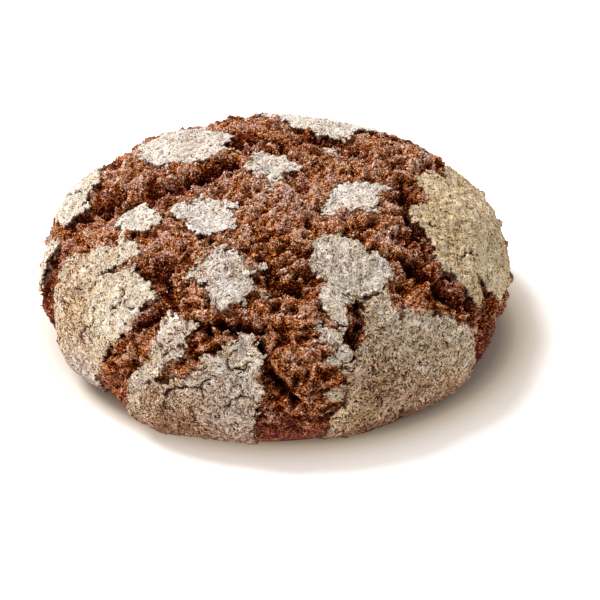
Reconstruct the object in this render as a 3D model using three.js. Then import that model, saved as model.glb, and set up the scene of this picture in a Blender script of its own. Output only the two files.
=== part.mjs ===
// A small round hearth loaf of rye, one piece of baked dough: domed on top, rolled under at the
// girth and flat where it stood on the oven floor. Its floured skin tore into plates as the dough
// rose, and the rough crumb shows between them, lower than the plates and split by fissures.
// The origin is on the flat base, under the crown. Lengths are in millimetres, angles in degrees.
import * as THREE from "three";
import { mergeVertices } from "three/addons/utils/BufferGeometryUtils.js";

// Plain form of the loaf
const GIRTH_RADIUS = 67.5;
const HEIGHT = 51;
const GIRTH_HEIGHT = 14;
const BASE_RADIUS = 56;
const DOME_POWER = 2.2;
const FLANK_POWER = 2.3;

// Where the girth bulges, or is drawn in under a plate
const SWELLS = [
  { azimuth: 35, push: 1.6, spread: 30 },
  { azimuth: 90, push: 1.0, spread: 35 },
  { azimuth: 156, push: 2.6, spread: 10 },
  { azimuth: 180, push: -1.0, spread: 12 },
  { azimuth: -10, push: -2.0, spread: 14 },
  { azimuth: -52, push: -3.0, spread: 24 },
  { azimuth: -95, push: -2.0, spread: 30 },
  { azimuth: -145, push: -2.6, spread: 22 },
];

// Crust map: a place on the crust is [u, v], the way over the surface from the crown, towards +X and
// +Y. Each floured plate of skin is an outline there, drawn straight and roughened below.
const PLATES = {
  backLeft: [
    [-37, 20], [-33.5, 13.5], [-25, 12], [-17, 12.5], [-13.5, 18], [-13, 28], [-20, 36], [-34, 50], [-42, 44],
    [-40, 33],
  ],
  leftShoulder: [
    [-50, 21], [-50.5, 16.5], [-56.5, 10.5], [-61.5, 7], [-65, 7.5], [-71, 20], [-68, 40], [-54, 40],
  ],
  leftFlank: [[-76, 15], [-69.5, 4], [-68.5, -1], [-71, -4], [-81, -5.5], [-86, 3], [-82, 13]],
  ridgeLeft: [[-46, -8.5], [-39, -6], [-33, -11], [-37.5, -20.5], [-44, -16.5]],
  crownLeft: [
    [-30, -10], [-21.5, -6], [-12, -11], [-12, -20.5], [-19, -25.5], [-24.5, -21], [-25, -16], [-29.5, -14],
  ],
  crownStar: [[-5, 14], [2, 11.5], [7, 6], [2, 2], [-1, -5], [-7.5, 5]],
  backRight: [[-5, 50], [2, 38.5], [6, 33], [18.5, 27.5], [24.5, 36], [32, 48], [24, 56], [8, 62], [-6, 58]],
  rightCrown: [
    [17, -2.5], [25, 1.5], [32, 1], [27.5, -11], [29.5, -14.5], [25, -12], [20, -12.5], [14.5, -14.5],
  ],
  rightShoulder: [
    [42, 11.5], [49, 17.5], [50, 26], [58, 36], [72, 25], [82, 5], [79, -18], [68, -22], [62.5, -21],
    [64, -31], [57.5, -29.5], [49, -25.5], [45, -14], [39.5, -7.5], [45, -1],
  ],
  leftFront: [
    [-66, -14.5], [-55, -18], [-40, -22.5], [-40.5, -27.5], [-51, -27.6], [-50, -29.6], [-41, -31.5],
    [-35, -42], [-41, -47.5], [-57, -52.5], [-68.5, -57], [-76, -62], [-90, -42], [-80, -30], [-73, -25],
    [-72.5, -21], [-68, -20],
  ],
  centre: [
    [-18, -31], [-11, -32], [-7, -39], [-3, -48], [-11.5, -49.5], [-18.5, -52], [-19.5, -41.5], [-25, -39],
  ],
  rightFrontUpper: [
    [11.5, -28], [17, -24.5], [23, -26], [30, -29.5], [35, -35.5], [34, -40], [25, -48], [20.5, -46.5],
    [20, -56], [14.5, -52], [13, -46], [15, -42], [10.5, -37],
  ],
  lowerTongue: [[13, -57], [20, -57], [20.5, -61], [25, -67.5], [19.5, -65], [16, -67], [18, -62]],
  chip: [[18.5, -74], [23, -73], [23, -76.5], [18, -76]],
  rightFront: [
    [34, -41], [38, -49.5], [40.5, -45.5], [56, -42], [65, -41], [73, -45], [80, -56], [66, -80], [44, -93],
    [21, -96], [21, -83], [25, -74], [23.5, -70.5], [28, -58], [27, -52.5], [30.5, -44.5],
  ],
  frontLeftStrip: [
    [-32, -51], [-28, -51.5], [-23.5, -55], [-28, -61], [-40, -66.5], [-42, -70], [-56, -72], [-47.5, -62.5],
    [-36, -56],
  ],
  frontLeft: [
    [-22, -63.5], [-11, -59.5], [-5, -62], [-4.5, -67.5], [-8, -71], [-4, -74], [-8.5, -83], [-7.5, -95],
    [-40, -90], [-58, -76], [-42, -67.5], [-23.5, -68],
  ],
  backFlankLeft: [[-60, 46], [-50, 48], [-42, 58], [-40, 70], [-52, 80], [-70, 68], [-72, 54]],
  backMiddle: [[-22, 62], [-8, 64], [6, 68], [4, 80], [-4, 94], [-22, 92], [-32, 78]],
  backFlankRight: [[22, 66], [36, 56], [46, 48], [58, 52], [56, 66], [42, 84], [24, 90]],
  leftBackLow: [[-80, 24], [-74, 34], [-82, 46], [-94, 34], [-96, 18], [-88, 14]],
  rightBackLow: [[74, 40], [84, 30], [94, 20], [98, 34], [84, 52], [72, 56]],
};

// Places where the crumb tore deepest: paths on the crust map, with their depth and half width
const FISSURES = [
  { path: [[-44, -3], [-38, -1], [-30, 1], [-20, 4], [-12, 9]], depth: 3.6, reach: 2.4 },
  { path: [[-63, 4], [-57, 3], [-51, 2], [-46, 5]], depth: 4.0, reach: 3.4 },
  { path: [[-65, 0], [-71, -9], [-78, -16]], depth: 1.8, reach: 2.2 },
  { path: [[33, 46], [42, 38], [52, 33]], depth: 2.8, reach: 6 },
  { path: [[-26, 54], [-15, 48]], depth: 2.6, reach: 5 },
  { path: [[-50, 40], [-49, 32], [-47, 26]], depth: 2.6, reach: 3.4 },
  { path: [[-14, 20], [-8, 22], [0, 23], [12, 24], [20, 23], [24, 18]], depth: 4.0, reach: 2.2 },
  { path: [[37, 4], [38, -2], [40, -10], [42, -15], [45.5, -24]], depth: 3.8, reach: 2.2 },
  { path: [[40, -30.5], [48, -34.5], [56, -38]], depth: 4.2, reach: 2.2 },
  { path: [[-4, -34], [1, -43], [9, -46]], depth: 3.0, reach: 2.2 },
  { path: [[-25, -54], [-17, -56], [-4, -58]], depth: 3.4, reach: 2 },
  { path: [[-42, -50], [-36, -49], [-30, -47], [-33, -31]], depth: 2.8, reach: 2 },
  { path: [[-4, -62], [-1, -70], [3, -74.5], [7, -77.5]], depth: 3.6, reach: 2 },
  { path: [[24, -48], [25, -56], [24, -66]], depth: 2.4, reach: 2 },
  { path: [[57, -16], [62, -21], [69, -25], [76, -30]], depth: 2.6, reach: 2 },
  { path: [[-16, 57], [4, 60], [20, 58], [38, 49]], depth: 3.2, reach: 2.2 },
  { path: [[-36, 58], [-36, 72], [-30, 88]], depth: 3.4, reach: 2.2 },
  { path: [[14, 66], [13, 78], [16, 90]], depth: 3.4, reach: 2.2 },
  { path: [[-66, 28], [-70, 42], [-80, 52]], depth: 3.0, reach: 2.2 },
];

// Single large pores: place on the crust map, radius and depth
const PORES = [
  { place: [24.5, -20], radius: 2.2, depth: 2.4 },
  { place: [45, -22], radius: 2.2, depth: 1.6 },
  { place: [8.5, -39], radius: 2.0, depth: 2.2 },
  { place: [0, -42.5], radius: 2.6, depth: 1.4 },
  { place: [59.5, -34.5], radius: 2.2, depth: 2.6 },
  { place: [35.5, 14.5], radius: 2.5, depth: 1.8 },
  { place: [3, 16.5], radius: 2.0, depth: 1.8 },
  { place: [-49, 3], radius: 3.5, depth: 3.6 },
  { place: [37, -3], radius: 2.4, depth: 2.2 },
];

// Height of the skin and the crumb over the plain form
const PLATE_LIFT = 0.3;
const PLATE_CROWN = 0.25;
const PLATE_CROWN_REACH = 5;
const LIP_WIDTH = 1.6;
const CRUMB_DIP = 1.5;
const CRUMB_REST = 0.3;
const CRUMB_DIP_REACH = 4;
const BASE_FADE = 7;

// Waves that roughen the outlines of the plates along u and v, the crumb, and the whole crust
const TEAR_ALONG_U = { size: 8, height: 0.4, seed: 1 };
const TEAR_ALONG_V = { size: 8, height: 0.4, seed: 2 };
const CRAG = { size: 9, height: 0.6, seed: 3 };
const KNOB = { size: 5.5, height: 0.45, seed: 4 };
const SAG = { size: 26, height: 0.5, seed: 5 };

// Each of them is a sum of plain waves, with lengths from the shortest to the longest share of its size
const WAVE_COUNT = 14;
const WAVE_SHORTEST = 0.75;
const WAVE_LONGEST = 1.25;
const WAVE_STRIDE = 5;
const GOLDEN_ANGLE = Math.PI * (3 - Math.sqrt(5));

// Share of the mesh that goes to the crust, the rest going to the flat base, and how fine the mesh is
const CRUST_SHARE = 0.88;
const MESH_DETAIL = 23;
const MERGE_GAP = 1e-5;
const PROFILE_STEPS = 600;

// Baked and floured crust, as one colour
const CRUST_COLOUR = "#a8886a";
const CRUST_ROUGHNESS = 0.92;

// The crust's profile from the crown down to the edge of the base, with the way along it and the
// area of crust that lies above each point
function crustProfile() {
  const drop = GIRTH_HEIGHT / (1 - (BASE_RADIUS / GIRTH_RADIUS) ** FLANK_POWER) ** (1 / FLANK_POWER);
  const points = [];
  for (let i = 0; i <= PROFILE_STEPS; i++) {
    const slope = (Math.PI / 2) * (1 - i / PROFILE_STEPS);
    const out = Math.max(0, Math.cos(slope)) ** (2 / DOME_POWER);
    const up = Math.max(0, Math.sin(slope)) ** (2 / DOME_POWER);
    points.push({ radius: GIRTH_RADIUS * out, height: GIRTH_HEIGHT + (HEIGHT - GIRTH_HEIGHT) * up });
  }
  for (let i = 1; i <= PROFILE_STEPS; i++) {
    const height = GIRTH_HEIGHT * (1 - i / PROFILE_STEPS);
    const tuck = (1 - ((GIRTH_HEIGHT - height) / drop) ** FLANK_POWER) ** (1 / FLANK_POWER);
    points.push({ radius: GIRTH_RADIUS * tuck, height });
  }
  let way = 0;
  let area = 0;
  points.forEach((point, i) => {
    const last = points[Math.max(0, i - 1)];
    const step = Math.hypot(point.radius - last.radius, point.height - last.height);
    way += step;
    area += step * (point.radius + last.radius) * Math.PI;
    Object.assign(point, { way, area });
  });
  return points;
}

const PROFILE = crustProfile();
const CRUST_END = PROFILE[PROFILE.length - 1];

// The point of the profile where a running measure, the way or the area, reaches a value
function profileAt(measure, value) {
  let low = 0;
  let high = PROFILE.length - 1;
  while (high - low > 1) {
    const middle = (low + high) >> 1;
    if (PROFILE[middle][measure] < value) low = middle;
    else high = middle;
  }
  const [a, b] = [PROFILE[low], PROFILE[high]];
  const share = THREE.MathUtils.clamp((value - a[measure]) / (b[measure] - a[measure]), 0, 1);
  return {
    radius: THREE.MathUtils.lerp(a.radius, b.radius, share),
    height: THREE.MathUtils.lerp(a.height, b.height, share),
    way: THREE.MathUtils.lerp(a.way, b.way, share),
    normal: new THREE.Vector2(a.height - b.height, b.radius - a.radius).normalize(),
  };
}

// How far the outline stands out at an azimuth, as a share of the girth's radius
function outlineAt(azimuth) {
  const turn = THREE.MathUtils.radToDeg(azimuth);
  return SWELLS.reduce((share, swell) => {
    const apart = THREE.MathUtils.euclideanModulo(turn - swell.azimuth + 180, 360) - 180;
    return share + (swell.push / GIRTH_RADIUS) * Math.exp(-((apart / swell.spread) ** 2));
  }, 1);
}

// Uneven waves of about one length, running every way through the dough, up and down by about their height
function waves(place, { size, height, seed }) {
  let sum = 0;
  for (let i = 0; i < WAVE_COUNT; i++) {
    const up = 1 - (2 * i + 1) / WAVE_COUNT;
    const turn = GOLDEN_ANGLE * (i + seed);
    const across = Math.sqrt(1 - up * up);
    const along = place.x * across * Math.cos(turn) + place.y * across * Math.sin(turn) + place.z * up;
    const draw = ((i * WAVE_STRIDE) % WAVE_COUNT) / WAVE_COUNT;
    const length = size * THREE.MathUtils.lerp(WAVE_SHORTEST, WAVE_LONGEST, draw);
    sum += Math.sin((2 * Math.PI * along) / length + GOLDEN_ANGLE * i * (i + seed));
  }
  return (height * sum) / Math.sqrt(WAVE_COUNT / 2);
}

// Distance from a place on the crust map to a straight stretch of path
function distanceToStretch(place, from, to) {
  const stretch = new THREE.Vector2().subVectors(to, from);
  const offset = new THREE.Vector2().subVectors(place, from);
  const share = THREE.MathUtils.clamp(offset.dot(stretch) / stretch.lengthSq(), 0, 1);
  return offset.addScaledVector(stretch, -share).length();
}

const toCorners = (outline) => outline.map(([u, v]) => new THREE.Vector2(u, v));
const PLATE_CORNERS = Object.values(PLATES).map(toCorners);
const FISSURE_PATHS = FISSURES.map((fissure) => ({ ...fissure, corners: toCorners(fissure.path) }));
const PORE_SPOTS = PORES.map((pore) => ({ ...pore, middle: new THREE.Vector2(...pore.place) }));

// Distance from the edge of the nearest plate, negative on a plate
function distanceFromPlates(place) {
  return Math.min(
    ...PLATE_CORNERS.map((corners) => {
      let nearest = Infinity;
      let inside = false;
      corners.forEach((corner, i) => {
        const next = corners[(i + 1) % corners.length];
        nearest = Math.min(nearest, distanceToStretch(place, corner, next));
        const spans = corner.y > place.y !== next.y > place.y;
        const crossing = corner.x + ((place.y - corner.y) / (next.y - corner.y)) * (next.x - corner.x);
        if (spans && place.x < crossing) inside = !inside;
      });
      return inside ? -nearest : nearest;
    }),
  );
}

// How deep the fissures and pores go at a place on the crust map
function hollowDepth(place) {
  const fissures = FISSURE_PATHS.map(({ corners, depth, reach }) => {
    const stretches = corners.slice(1).map((corner, i) => distanceToStretch(place, corners[i], corner));
    return depth * Math.exp(-((Math.min(...stretches) / reach) ** 2));
  });
  const pores = PORE_SPOTS.map(({ middle, radius, depth }) => {
    return depth * Math.exp(-((place.distanceTo(middle) / radius) ** 4));
  });
  return Math.max(...fissures, ...pores);
}

// Height of the crust over the plain form, at a place on the crust map and the point of the form there
function relief(place, point, way) {
  const torn = place.clone();
  torn.x += waves(point, TEAR_ALONG_U);
  torn.y += waves(point, TEAR_ALONG_V);
  const fromPlates = distanceFromPlates(torn);
  const onCrumb = THREE.MathUtils.smoothstep(fromPlates, -LIP_WIDTH / 2, LIP_WIDTH / 2);
  const crown = PLATE_CROWN * (1 - Math.exp(Math.min(0, fromPlates) / PLATE_CROWN_REACH));
  const dip = CRUMB_REST + (CRUMB_DIP - CRUMB_REST) * Math.exp(-Math.max(0, fromPlates) / CRUMB_DIP_REACH);
  const crumb = waves(point, CRAG) + waves(point, KNOB) - dip - hollowDepth(torn);
  const fade = THREE.MathUtils.smoothstep(CRUST_END.way - way, 0, BASE_FADE);
  return fade * (waves(point, SAG) + THREE.MathUtils.lerp(PLATE_LIFT + crown, crumb, onCrumb));
}

// A point of the loaf for each direction from its middle, spread evenly over crust and base
function loafPoint(direction) {
  const azimuth = Math.atan2(direction.y, direction.x);
  const fromTop = (1 - direction.z) / 2;
  const outline = outlineAt(azimuth);
  const aside = new THREE.Vector3(Math.cos(azimuth), Math.sin(azimuth), 0);
  if (fromTop >= CRUST_SHARE) {
    const share = Math.sqrt((1 - fromTop) / (1 - CRUST_SHARE));
    return aside.multiplyScalar(BASE_RADIUS * outline * share);
  }
  const { radius, height, way, normal } = profileAt("area", (fromTop / CRUST_SHARE) * CRUST_END.area);
  const point = aside.clone().multiplyScalar(radius * outline).setZ(height);
  const place = new THREE.Vector2(Math.cos(azimuth), Math.sin(azimuth)).multiplyScalar(way);
  const lift = relief(place, point, way);
  return point.addScaledVector(aside, normal.x * lift).setZ(Math.max(0, height + normal.y * lift));
}

// The loaf: an even ball of triangles, each corner moved to its place on crust or base
function loaf() {
  const ball = new THREE.IcosahedronGeometry(1, MESH_DETAIL);
  ball.deleteAttribute("normal");
  ball.deleteAttribute("uv");
  const geometry = mergeVertices(ball, MERGE_GAP);
  const positions = geometry.getAttribute("position");
  const direction = new THREE.Vector3();
  for (let i = 0; i < positions.count; i++) {
    direction.fromBufferAttribute(positions, i).normalize();
    const point = loafPoint(direction);
    positions.setXYZ(i, point.x, point.y, point.z);
  }
  geometry.computeVertexNormals();
  const crust = new THREE.MeshStandardMaterial({
    color: CRUST_COLOUR,
    roughness: CRUST_ROUGHNESS,
    metalness: 0,
  });
  const mesh = new THREE.Mesh(geometry, crust);
  mesh.name = "loaf";
  return mesh;
}

const bread = new THREE.Group();
bread.add(loaf());

export default bread;
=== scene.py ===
import math

import bmesh
import bpy
import numpy as np
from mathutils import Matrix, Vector, noise


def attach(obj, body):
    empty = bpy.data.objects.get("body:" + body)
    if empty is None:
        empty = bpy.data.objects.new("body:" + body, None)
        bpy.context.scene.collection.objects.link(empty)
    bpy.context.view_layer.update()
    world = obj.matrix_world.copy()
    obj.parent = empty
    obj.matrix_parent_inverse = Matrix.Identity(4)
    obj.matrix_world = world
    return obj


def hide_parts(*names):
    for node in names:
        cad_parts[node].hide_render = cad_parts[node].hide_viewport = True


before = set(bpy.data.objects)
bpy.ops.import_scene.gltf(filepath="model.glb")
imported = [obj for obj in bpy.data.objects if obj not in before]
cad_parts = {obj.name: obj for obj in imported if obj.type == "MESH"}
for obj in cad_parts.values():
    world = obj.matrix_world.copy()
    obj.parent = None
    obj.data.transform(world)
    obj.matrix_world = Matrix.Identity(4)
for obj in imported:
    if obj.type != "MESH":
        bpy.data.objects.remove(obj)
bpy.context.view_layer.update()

# The loaf: one piece of rye dough, baked on the oven floor. As it rose its dry skin tore into plates, and the
# dough between them baked as rough brown crumb with fissures and pores. This is the crumb, the whole body.
# Lengths here are in millimetres, and the finished meshes are in metres.
MM = 0.001
GIRTH_RADIUS = 67.5
HEIGHT = 51
GIRTH_HEIGHT = 14
BASE_RADIUS = 56
DOME_POWER = 2.2
FLANK_POWER = 2.3
PROFILE_STEPS = 600

# Where the girth bulges, or is drawn in under a plate: azimuth in degrees, push, spread in degrees
SWELLS = [
    (35, 1.6, 30), (90, 1.0, 35), (156, 2.6, 10), (180, -1.0, 12), (-10, -2.0, 14), (-52, -3.0, 24),
    (-95, -2.0, 30), (-145, -2.6, 22),
]

# Crust map: a place is (u, v), the way over the surface from the crown, towards +X and +Y. Each plate of skin
# is how brown it baked and how yellow its flour is, and its outline on the map. Both are 0 on a plain plate
# and 1 on a strong one. Brown is below 0 on a paler plate, and yellow is 2 where the skin is straw.
PLATES = {
    "back_left": (0.0, 0.1, [
        (-37, 20), (-35, 15.5), (-33.5, 13.5), (-25, 12), (-17, 12.5), (-13.5, 17.5), (-15, 20), (-13, 28),
        (-15.5, 32), (-20, 36), (-27, 42), (-34, 50), (-42, 44), (-40, 33),
    ]),
    "left_shoulder": (0.05, 0.3, [
        (-50, 21), (-50.5, 16.5), (-54, 13), (-56.5, 10.5), (-58, 8), (-61.5, 7), (-65, 7.5), (-67, 12),
        (-71, 20), (-68, 40), (-54, 40),
    ]),
    "left_flank": (0.1, 0.4, [
        (-76, 15), (-73, 9), (-69.5, 4), (-68.5, -1), (-71, -4), (-76, -6), (-81, -5.5), (-86, 3),
        (-82, 13),
    ]),
    "ridge_left": (0.05, 0.3, [
        (-46, -8.5), (-39, -6), (-36.5, -7.5), (-33, -11), (-34.5, -14.5), (-37.5, -20.5), (-39.5, -17.5),
        (-42, -18), (-44, -16.5), (-43.5, -14), (-45, -11.5),
    ]),
    "crown_left": (0.0, 0.1, [
        (-30, -10), (-27, -8.5), (-24, -10), (-21.5, -6), (-17, -8), (-12, -11), (-14, -13), (-12, -14.5),
        (-12, -20.5), (-13.5, -23), (-16, -22.5), (-19, -25.5), (-22, -23.5), (-24.5, -21), (-25, -16),
        (-29.5, -14),
    ]),
    "crown_star": (0.0, 0.2, [
        (-5, 14), (-2, 13), (2, 11.5), (3.5, 8.5), (7, 6), (2, 2), (1.5, 0), (-1, -5), (-2.5, -1), (-5, 2),
        (-7.5, 5), (-5.5, 10),
    ]),
    "crown_flake": (0.0, 0.2, [(14, 15.5), (15, 19), (16.5, 17.5), (16.5, 14.5)]),
    "back_right": (-0.15, 0.3, [
        (-5, 50), (-2, 43), (2, 38.5), (6, 33), (11, 30), (15, 28.5), (18.5, 27.5), (21, 31), (24.5, 36),
        (28.5, 40), (32, 48), (24, 56), (8, 62), (-6, 58),
    ]),
    "right_crown": (0.0, 0.1, [
        (17, -2.5), (20, 0), (25, 1.5), (32, 1), (29, -4), (30, -6), (27.5, -11), (29.5, -14.5),
        (27.5, -15.5), (25, -12), (22.5, -12), (21.5, -14), (20, -12.5), (17, -15), (14.5, -14.5),
        (16, -7),
    ]),
    "right_shoulder": (0.12, 2.0, [
        (42, 11.5), (45, 14.5), (49, 17.5), (50, 26), (58, 36), (72, 25), (82, 5), (79, -18), (74, -19.5),
        (68, -22), (62.5, -21), (64.5, -27), (64, -31), (57.5, -29.5), (53, -26.5), (49, -25.5),
        (47.5, -20), (45, -14), (41.5, -12.5), (39.5, -7.5), (42.5, -4), (45, -1), (43, 5), (41.5, 8.5),
    ]),
    "left_front": (0.08, 0.6, [
        (-66, -14.5), (-60, -15.5), (-55, -18), (-50, -19.5), (-48.5, -21), (-45.5, -20), (-40, -22.5),
        (-38.5, -24), (-40.5, -27.5), (-51, -27.6), (-50, -29.6), (-41, -31.5), (-41, -34),
        (-37.5, -37.5), (-35, -42), (-40, -45), (-41, -47.5), (-45, -48.5), (-50, -50.5), (-57, -52.5),
        (-62, -55), (-68.5, -57), (-76, -62), (-90, -42), (-80, -30), (-73, -25), (-72.5, -21),
        (-68, -20),
    ]),
    "centre": (0.2, 0.1, [
        (-18, -31), (-11, -32), (-8, -36), (-7, -39), (-3, -37.5), (-7, -41), (-6.5, -44), (-3, -48),
        (-7, -46.5), (-11.5, -49.5), (-15, -51.5), (-18.5, -52), (-17, -50), (-19, -45), (-19.5, -41.5),
        (-22, -42), (-25, -39), (-20.5, -34.5),
    ]),
    "right_front_upper": (0.1, 0.4, [
        (11.5, -28), (14.5, -26.5), (17, -24.5), (20, -25), (23, -26), (28, -30.5), (30, -29.5),
        (35, -35.5), (33.5, -37.5), (34, -40), (30, -43), (25, -48), (20.5, -46.5), (21.5, -50),
        (20, -56), (17, -53), (14.5, -52), (13, -46), (15, -42), (10.5, -37), (12, -32), (10.5, -30),
    ]),
    "lower_tongue": (0.15, 0.4, [
        (13, -57), (20, -57), (21.5, -59), (20.5, -61), (25, -67.5), (23.5, -69), (19.5, -65), (16, -67),
        (18, -62), (16.5, -60.5), (14.5, -60),
    ]),
    "chip": (0.2, 0.4, [(18.5, -74), (23, -73), (23, -76.5), (18, -76)]),
    "right_front": (0.28, 0.8, [
        (34, -41), (37.5, -46), (38, -49.5), (40.5, -45.5), (46, -45), (56, -42), (65, -41), (73, -45),
        (80, -56), (66, -80), (44, -93), (21, -96), (21, -83), (24, -76.5), (25, -74), (23.5, -70.5),
        (25, -64.5), (28, -58), (27, -52.5), (30.5, -44.5),
    ]),
    "front_left_strip": (0.15, 0.4, [
        (-32, -51), (-28, -51.5), (-23.5, -55), (-28, -57.5), (-28, -61), (-33.5, -63), (-40, -66.5),
        (-42, -70), (-56, -72), (-50.5, -66.5), (-47.5, -62.5), (-40, -60), (-36, -56), (-33.5, -57.5),
        (-34, -54.5),
    ]),
    "front_left": (0.25, 0.5, [
        (-22, -63.5), (-16, -62.5), (-11, -59.5), (-5, -62), (-4.5, -67.5), (-8, -71), (-4, -74),
        (-5, -79.5), (-8.5, -83), (-7.5, -95), (-40, -90), (-58, -76), (-42, -67.5), (-36, -68.5),
        (-23.5, -68),
    ]),
    "back_flank_left": (0.25, 0.5, [
        (-60, 46), (-50, 48), (-42, 58), (-40, 70), (-52, 80), (-70, 68), (-72, 54),
    ]),
    "back_middle": (0.3, 0.5, [(-22, 62), (-8, 64), (6, 68), (4, 80), (-4, 94), (-22, 92), (-32, 78)]),
    "back_flank_right": (0.3, 0.6, [(22, 66), (36, 56), (46, 48), (58, 52), (56, 66), (42, 84), (24, 90)]),
    "left_back_low": (0.3, 0.5, [(-80, 24), (-74, 34), (-82, 46), (-94, 34), (-96, 18), (-88, 14)]),
    "right_back_low": (0.35, 0.6, [(74, 40), (84, 30), (94, 20), (98, 34), (84, 52), (72, 56)]),
}

# Stains on the plates, and one paler spot of painted light where the skin lies in shade: place on the crust
# map, radius, and what they add to brown and to yellow
STAINS_AND_PAINTED_LIGHT = [
    ((-66, -36), 12, 0.38, 0.8),
    ((34, -66), 9, 0.35, 0.3),
    ((50, -84), 15, 0.4, -0.4),
    # Painted light: paler where the right shoulder lies in shade
    ((72, -16), 7, -0.3, 0.0),
    ((-62, -21), 9, 0.35, 0.1),
    ((-36, -80), 12, 0.4, 0.4),
    ((-18, -86), 12, 0.0, -0.7),
    ((-76, -47), 11, -0.1, -1.3),
    ((68.5, 11), 4, 0.3, 0.2),
    ((-44, 60), 9, 0.2, 0.3),
    ((-12, 84), 12, 0.2, -0.5),
    ((40, 70), 11, 0.2, 0.3),
]

# Where the crumb tore deepest: path on the crust map, depth, half width
FISSURES = [
    ([(-44, -3), (-38, -1), (-30, 1), (-20, 4), (-12, 9)], 3.6, 2.4),
    ([(-63, 4), (-57, 3), (-51, 2), (-46, 5)], 4.0, 3.4),
    ([(-65, 0), (-71, -9), (-78, -16)], 1.8, 2.2),
    ([(33, 46), (42, 38), (52, 33)], 2.8, 6),
    ([(-26, 54), (-15, 48)], 2.6, 5),
    ([(-50, 40), (-49, 32), (-47, 26)], 2.6, 3.4),
    ([(-14, 20), (-8, 22), (0, 23), (12, 24), (20, 23), (24, 18)], 4.0, 2.2),
    ([(37, 4), (38, -2), (40, -10), (42, -15), (45.5, -24)], 3.8, 2.0),
    ([(40, -30.5), (48, -34.5), (56, -38)], 4.2, 2.0),
    ([(-4, -34), (1, -43), (9, -46)], 3.0, 1.8),
    ([(-25, -54), (-17, -56), (-4, -58)], 3.4, 1.6),
    ([(-42, -50), (-36, -49), (-30, -47), (-33, -31)], 2.8, 1.8),
    ([(-4, -62), (-1, -70), (3, -74.5), (7, -77.5)], 3.6, 1.4),
    ([(24, -48), (25, -56), (24, -66)], 2.4, 1.6),
    ([(57, -16), (62, -21), (69, -25), (76, -30)], 2.6, 1.6),
    ([(-16, 57), (4, 60), (20, 58), (38, 49)], 3.2, 2.0),
    ([(-36, 58), (-36, 72), (-30, 88)], 3.4, 2.0),
    ([(14, 66), (13, 78), (16, 90)], 3.4, 2.0),
    ([(-66, 28), (-70, 42), (-80, 52)], 3.0, 2.0),
]

# Single large pores: place on the crust map, radius, depth
PORES = [
    ((24.5, -20), 2.2, 2.4), ((20.5, -18), 1.4, 1.8), ((45, -22), 2.2, 1.6), ((8.5, -39), 2.0, 2.2),
    ((0, -42.5), 2.6, 1.4), ((51.5, -28.3), 1.8, 2.6), ((59.5, -34.5), 2.2, 2.6), ((35.5, 14.5), 2.5, 1.8),
    ((3, 16.5), 2.0, 1.8), ((-49, 3), 3.5, 3.6), ((37, -3), 2.4, 2.2), ((16.5, -82), 1.5, 2.0),
]

# Height of the crumb over the plain form: under the skin, beside a plate's edge, and far from one
CRUMB_UNDER_SKIN = 0.5
CRUMB_DIP = 1.3
CRUMB_REST = 0.2
CRUMB_DIP_REACH = 4
EDGE_WIDTH = 1.0
BASE_FADE = 7

# The crumb's relief ends between these ways from the crown, where the dough lay close to the oven floor
SMOOTH_FOOT = (84, 97)

# Waves in the outlines of the plates, and in the crumb, as length, height and seed
TEARS = [(8, 0.4, 1), (2.6, 0.35, 6)]
CRAG = (9, 0.4, 3)
KNOB = (5.5, 0.28, 4)
SAG = (26, 0.5, 5)

# How many waves run together, their lengths as shares of the wanted one, and the stride that shuffles them
WAVE_COUNT = 14
WAVE_SHORTEST = 0.75
WAVE_SPREAD = 0.5
WAVE_STRIDE = 5
GOLDEN_ANGLE = math.pi * (3 - math.sqrt(5))

# How far the cloudy noise of one seed lies from that of the next
CLOUD_SHIFT = Vector((3.7, 1.3, 5.1))

# Torn ridges of the crumb and wider valleys as size and height, how far and how often they twist, and their
# noise: roughness, gap between octaves, number of octaves, offset and gain
RIDGE = (4.2, 0.55)
VALLEY = (10.0, 0.35)
RIDGE_TWIST = 0.45
RIDGE_TWIST_RATE = 1.3
TWIST_SEED = 7
RIDGE_NOISE = (0.5, 2.1, 3, 1.0, 2.0)

# Roughness of single corners of the crumb's mesh, from a little under the edges of the skin outwards
CRUMB_ROUGH = 0.15
CRUMB_ROUGH_FROM = -0.5
CRUMB_ROUGH_SEED = 5

# Round hollows and small pores in the crumb: spacing, radius, depth
HOLLOWS = [(8.0, 2.4, 1.3), (4.4, 1.35, 1.5), (2.6, 0.65, 1.2)]

# How far hollows are bent and over what length, how uneven they are in size, and how steep their sides are
HOLLOW_SKEW = 0.7
HOLLOW_SKEW_LENGTH = 2.2
HOLLOW_UNEVEN = 0.6
HOLLOW_SHUFFLE = 3.7
HOLLOW_STEEPNESS = 4

# The wall round a hollow: its height, and its place and width as shares of the hollow's radius
HOLLOW_WALL = 0.35
HOLLOW_WALL_PLACE = 1.35
HOLLOW_WALL_WIDTH = 0.3

# Patches where hollows are thick or few: size, seed, and the values of the noise for none and for all
HOLLOW_PATCH_SIZE = 12
HOLLOW_PATCH_SEED = 4
HOLLOW_PATCH_EDGE = (-0.5, 0.1)

# How uneven fissures and pores are: share, size of the patches, seed
FISSURE_UNEVEN = (0.5, 3, 6)
PORE_UNEVEN = (0.4, 2.5, 7)
PORE_STEEPNESS = 4

# Patches where the crumb dips: size and seed, and the values of the noise for no dip and for all of it
DIP_PATCH = (9, 8)
DIP_PATCH_EDGE = (-0.5, 0.5)

# Burnt crags that stand out of the crumb: place on the crust map, radius, height
CRAGS = [
    ((34, 40), 4, 0.7), ((41, 38), 3, 0.8), ((47, 32), 3, 0.7), ((-14, 50), 4, 0.4), ((60, -33), 4, 0.6),
    ((-36, 56), 5, 0.9), ((14, 66), 5, 0.9), ((66, 40), 5, 0.9), ((-70, 32), 5, 0.7),
]

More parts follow.
